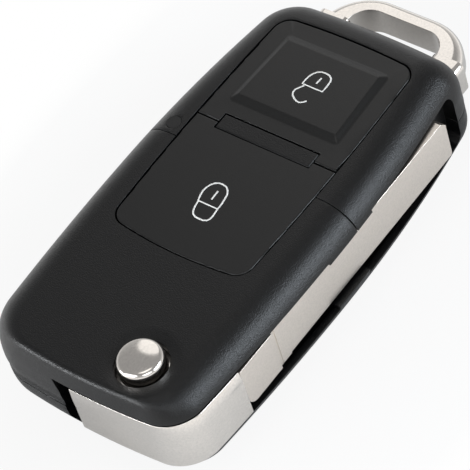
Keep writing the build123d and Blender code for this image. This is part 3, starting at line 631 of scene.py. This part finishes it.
def place_camera():
    """Camera at the photograph's viewing angle."""
    azimuth, elevation, roll = (math.radians(v) for v in CAMERA_TURN)
    back = Vector((
        math.sin(azimuth) * math.cos(elevation),
        -math.cos(azimuth) * math.cos(elevation),
        math.sin(elevation),
    ))
    right = Vector((math.cos(azimuth), math.sin(azimuth), 0))
    up = back.cross(right)
    across = right * math.cos(roll) + up * math.sin(roll)
    above = up * math.cos(roll) - right * math.sin(roll)
    sideways, upwards, distance = CAMERA_SHIFT
    place = (-sideways * across + upwards * above + distance * back) * MM
    place.x += SEAM_X
    camera = bpy.data.objects.new("camera", bpy.data.cameras.new("camera"))
    bpy.context.scene.collection.objects.link(camera)
    turn = Matrix((across, above, back)).transposed().to_4x4()
    camera.matrix_world = Matrix.Translation(place) @ turn
    camera.data.sensor_width = SENSOR_MM
    camera.data.lens = CAMERA_FOCAL * SENSOR_MM / FRAME_PIXELS
    camera.data.clip_start, camera.data.clip_end = CLIP_RANGE
    bpy.context.scene.camera = camera


def add_softbox(name, place, size, power, colour):
    """Soft round area lamp that faces the middle of the fob."""
    lamp = bpy.data.lights.new(name, "AREA")
    lamp.shape = "ELLIPSE"
    lamp.size, lamp.size_y = size
    lamp.energy = power
    lamp.color = colour
    box = bpy.data.objects.new(name, lamp)
    bpy.context.scene.collection.objects.link(box)
    box.location = place
    box.rotation_euler = (Vector(LAMP_AIM) - Vector(place)).to_track_quat("-Z", "Y").to_euler()


def white_share(tree, seen, mirrored):
    """How white a background is to each kind of ray: what the camera sees, and what shows in gloss."""
    rays = add(tree, "ShaderNodeLightPath").outputs
    shares = {"Is Camera Ray": seen, "Is Transmission Ray": seen, "Is Glossy Ray": mirrored}
    parts = [
        add(tree, "ShaderNodeMath", {"operation": "MULTIPLY", 1: share}, {0: rays[ray]}).outputs["Value"]
        for ray, share in shares.items()
    ]
    largest = parts[0]
    for part in parts[1:]:
        larger = add(tree, "ShaderNodeMath", {"operation": "MAXIMUM"}, {0: largest, 1: part})
        largest = larger.outputs["Value"]
    return largest


def make_world():
    """Light tent: even and pale all round, a little darker overhead, and white where it is looked at."""
    world = bpy.data.worlds.new("studio")
    bpy.context.scene.world = world
    world.use_nodes = True
    tree = world.node_tree
    tree.nodes.clear()
    place = add(tree, "ShaderNodeTexCoord")
    split = add(tree, "ShaderNodeSeparateXYZ", links={"Vector": place.outputs["Generated"]})
    ramp = add(
        tree, "ShaderNodeMapRange",
        {
            "From Min": SKY_HEIGHTS[0], "From Max": SKY_HEIGHTS[1],
            "To Min": SKY_LEVELS[0], "To Max": SKY_LEVELS[1],
        },
        {"Value": split.outputs["Z"]},
    )
    level = add(
        tree, "ShaderNodeMapRange", {"To Max": 1.0},
        {"Value": white_share(tree, 1.0, SKY_IN_GLOSS), "To Min": ramp.outputs["Result"]},
    )
    background = add(
        tree, "ShaderNodeBackground", {"Color": (1, 1, 1, 1)}, {"Strength": level.outputs["Result"]}
    )
    add(tree, "ShaderNodeOutputWorld", links={"Surface": background.outputs["Background"]})


def make_floor():
    """White floor that keeps the object's shadow, with painted shade round the fob in its paper and in its
    reflections.
    """
    mesh = bpy.data.meshes.new("floor")
    corners = [(x * FLOOR_HALF, y * FLOOR_HALF, 0) for x, y in ((-1, -1), (1, -1), (1, 1), (-1, 1))]
    mesh.from_pydata(corners, [], [(0, 1, 2, 3)])
    floor = bpy.data.objects.new("floor", mesh)
    floor.location.z = -FLOOR_SINK
    bpy.context.scene.collection.objects.link(floor)
    material, tree, out = new_material("white_paper_painted_shade")
    place = add(tree, "ShaderNodeTexCoord")
    footprint = add(tree, "ShaderNodeMapping", {"Scale": FOOTPRINT}, {"Vector": place.outputs["Object"]})
    away = add(
        tree, "ShaderNodeVectorMath", {"operation": "LENGTH"}, {"Vector": footprint.outputs["Vector"]}
    )
    # Painted shade round the fob: 1 away from it, falling to a low share beside it
    clear = add(
        tree, "ShaderNodeMapRange",
        {
            "interpolation_type": "SMOOTHSTEP",
            "From Min": PAINTED_SHADE_RADII[0], "From Max": PAINTED_SHADE_RADII[1], "To Min": PAINTED_SHADE_GLOSS, "To Max": 1.0,
        },
        {"Value": away.outputs["Value"]},
    )
    # Paper colour darkened beside the fob as painted shade
    painted_shade_tone = add(
        tree, "ShaderNodeMapRange", {"To Min": PAINTED_SHADE_TONES[0], "To Max": PAINTED_SHADE_TONES[1]},
        {"Value": clear.outputs["Result"]},
    )
    paper = add(tree, "ShaderNodeBsdfDiffuse", links={"Color": painted_shade_tone.outputs["Result"]})
    white = add(tree, "ShaderNodeEmission", {"Strength": 1.0})
    # What gloss sees of the white: little beside the fob, as painted shade in reflections
    gloss = add(
        tree, "ShaderNodeMath", {"operation": "MULTIPLY"},
        {0: white_share(tree, 1.0, 1.0), 1: clear.outputs["Result"]},
    )
    share = add(
        tree, "ShaderNodeMath", {"operation": "MAXIMUM"},
        {0: white_share(tree, FLOOR_WHITE, 0.0), 1: gloss.outputs["Value"]},
    )
    mixed = add(
        tree, "ShaderNodeMixShader",
        links={0: share.outputs["Value"], 1: paper.outputs["BSDF"], 2: white.outputs["Emission"]},
    )
    tree.links.new(mixed.outputs["Shader"], out.inputs["Surface"])
    mesh.materials.append(material)


class KEYFOB_OT_stage(bpy.types.Operator):
    """Floor, light and camera"""

    bl_idname = "keyfob.stage"
    bl_label = "Stage"

    def execute(self, context):
        place_camera()
        make_world()
        make_floor()
        for lamp in LAMPS:
            add_softbox(*lamp)
        context.scene.view_settings.view_transform = "Standard"
        return {"FINISHED"}


class KEYFOB_PT_panel(bpy.types.Panel):
    """Key fob pieces"""

    bl_idname = "KEYFOB_PT_panel"
    bl_label = "Key fob"
    bl_space_type = "VIEW_3D"
    bl_region_type = "UI"
    bl_category = "Key fob"

    def draw(self, context):
        for group in (context.scene.keyfob_sizes, context.scene.keyfob_colours):
            for name in group.__annotations__:
                self.layout.prop(group, name)
        for operator in OPERATORS:
            self.layout.operator(operator.bl_idname)


OPERATORS = (
    KEYFOB_OT_stage, KEYFOB_OT_materials, KEYFOB_OT_case, KEYFOB_OT_buttons,
    KEYFOB_OT_metal, KEYFOB_OT_inside, KEYFOB_OT_signs,
)
CLASSES = (KeyFobSizes, KeyFobColours) + OPERATORS + (KEYFOB_PT_panel,)


def register():
    """Register the add-on's classes and settings."""
    for item in CLASSES:
        bpy.utils.register_class(item)
    bpy.types.Scene.keyfob_sizes = PointerProperty(type=KeyFobSizes)
    bpy.types.Scene.keyfob_colours = PointerProperty(type=KeyFobColours)


def unregister():
    """Remove the add-on's classes and settings."""
    del bpy.types.Scene.keyfob_sizes
    del bpy.types.Scene.keyfob_colours
    for item in reversed(CLASSES):
        bpy.utils.unregister_class(item)


def main():
    """Make every piece in order."""
    register()
    bpy.ops.keyfob.stage()
    bpy.ops.keyfob.materials()
    bpy.ops.keyfob.case()
    bpy.ops.keyfob.buttons()
    bpy.ops.keyfob.metal()
    bpy.ops.keyfob.inside()
    bpy.ops.keyfob.signs()


if __name__ == "__main__":
    main()
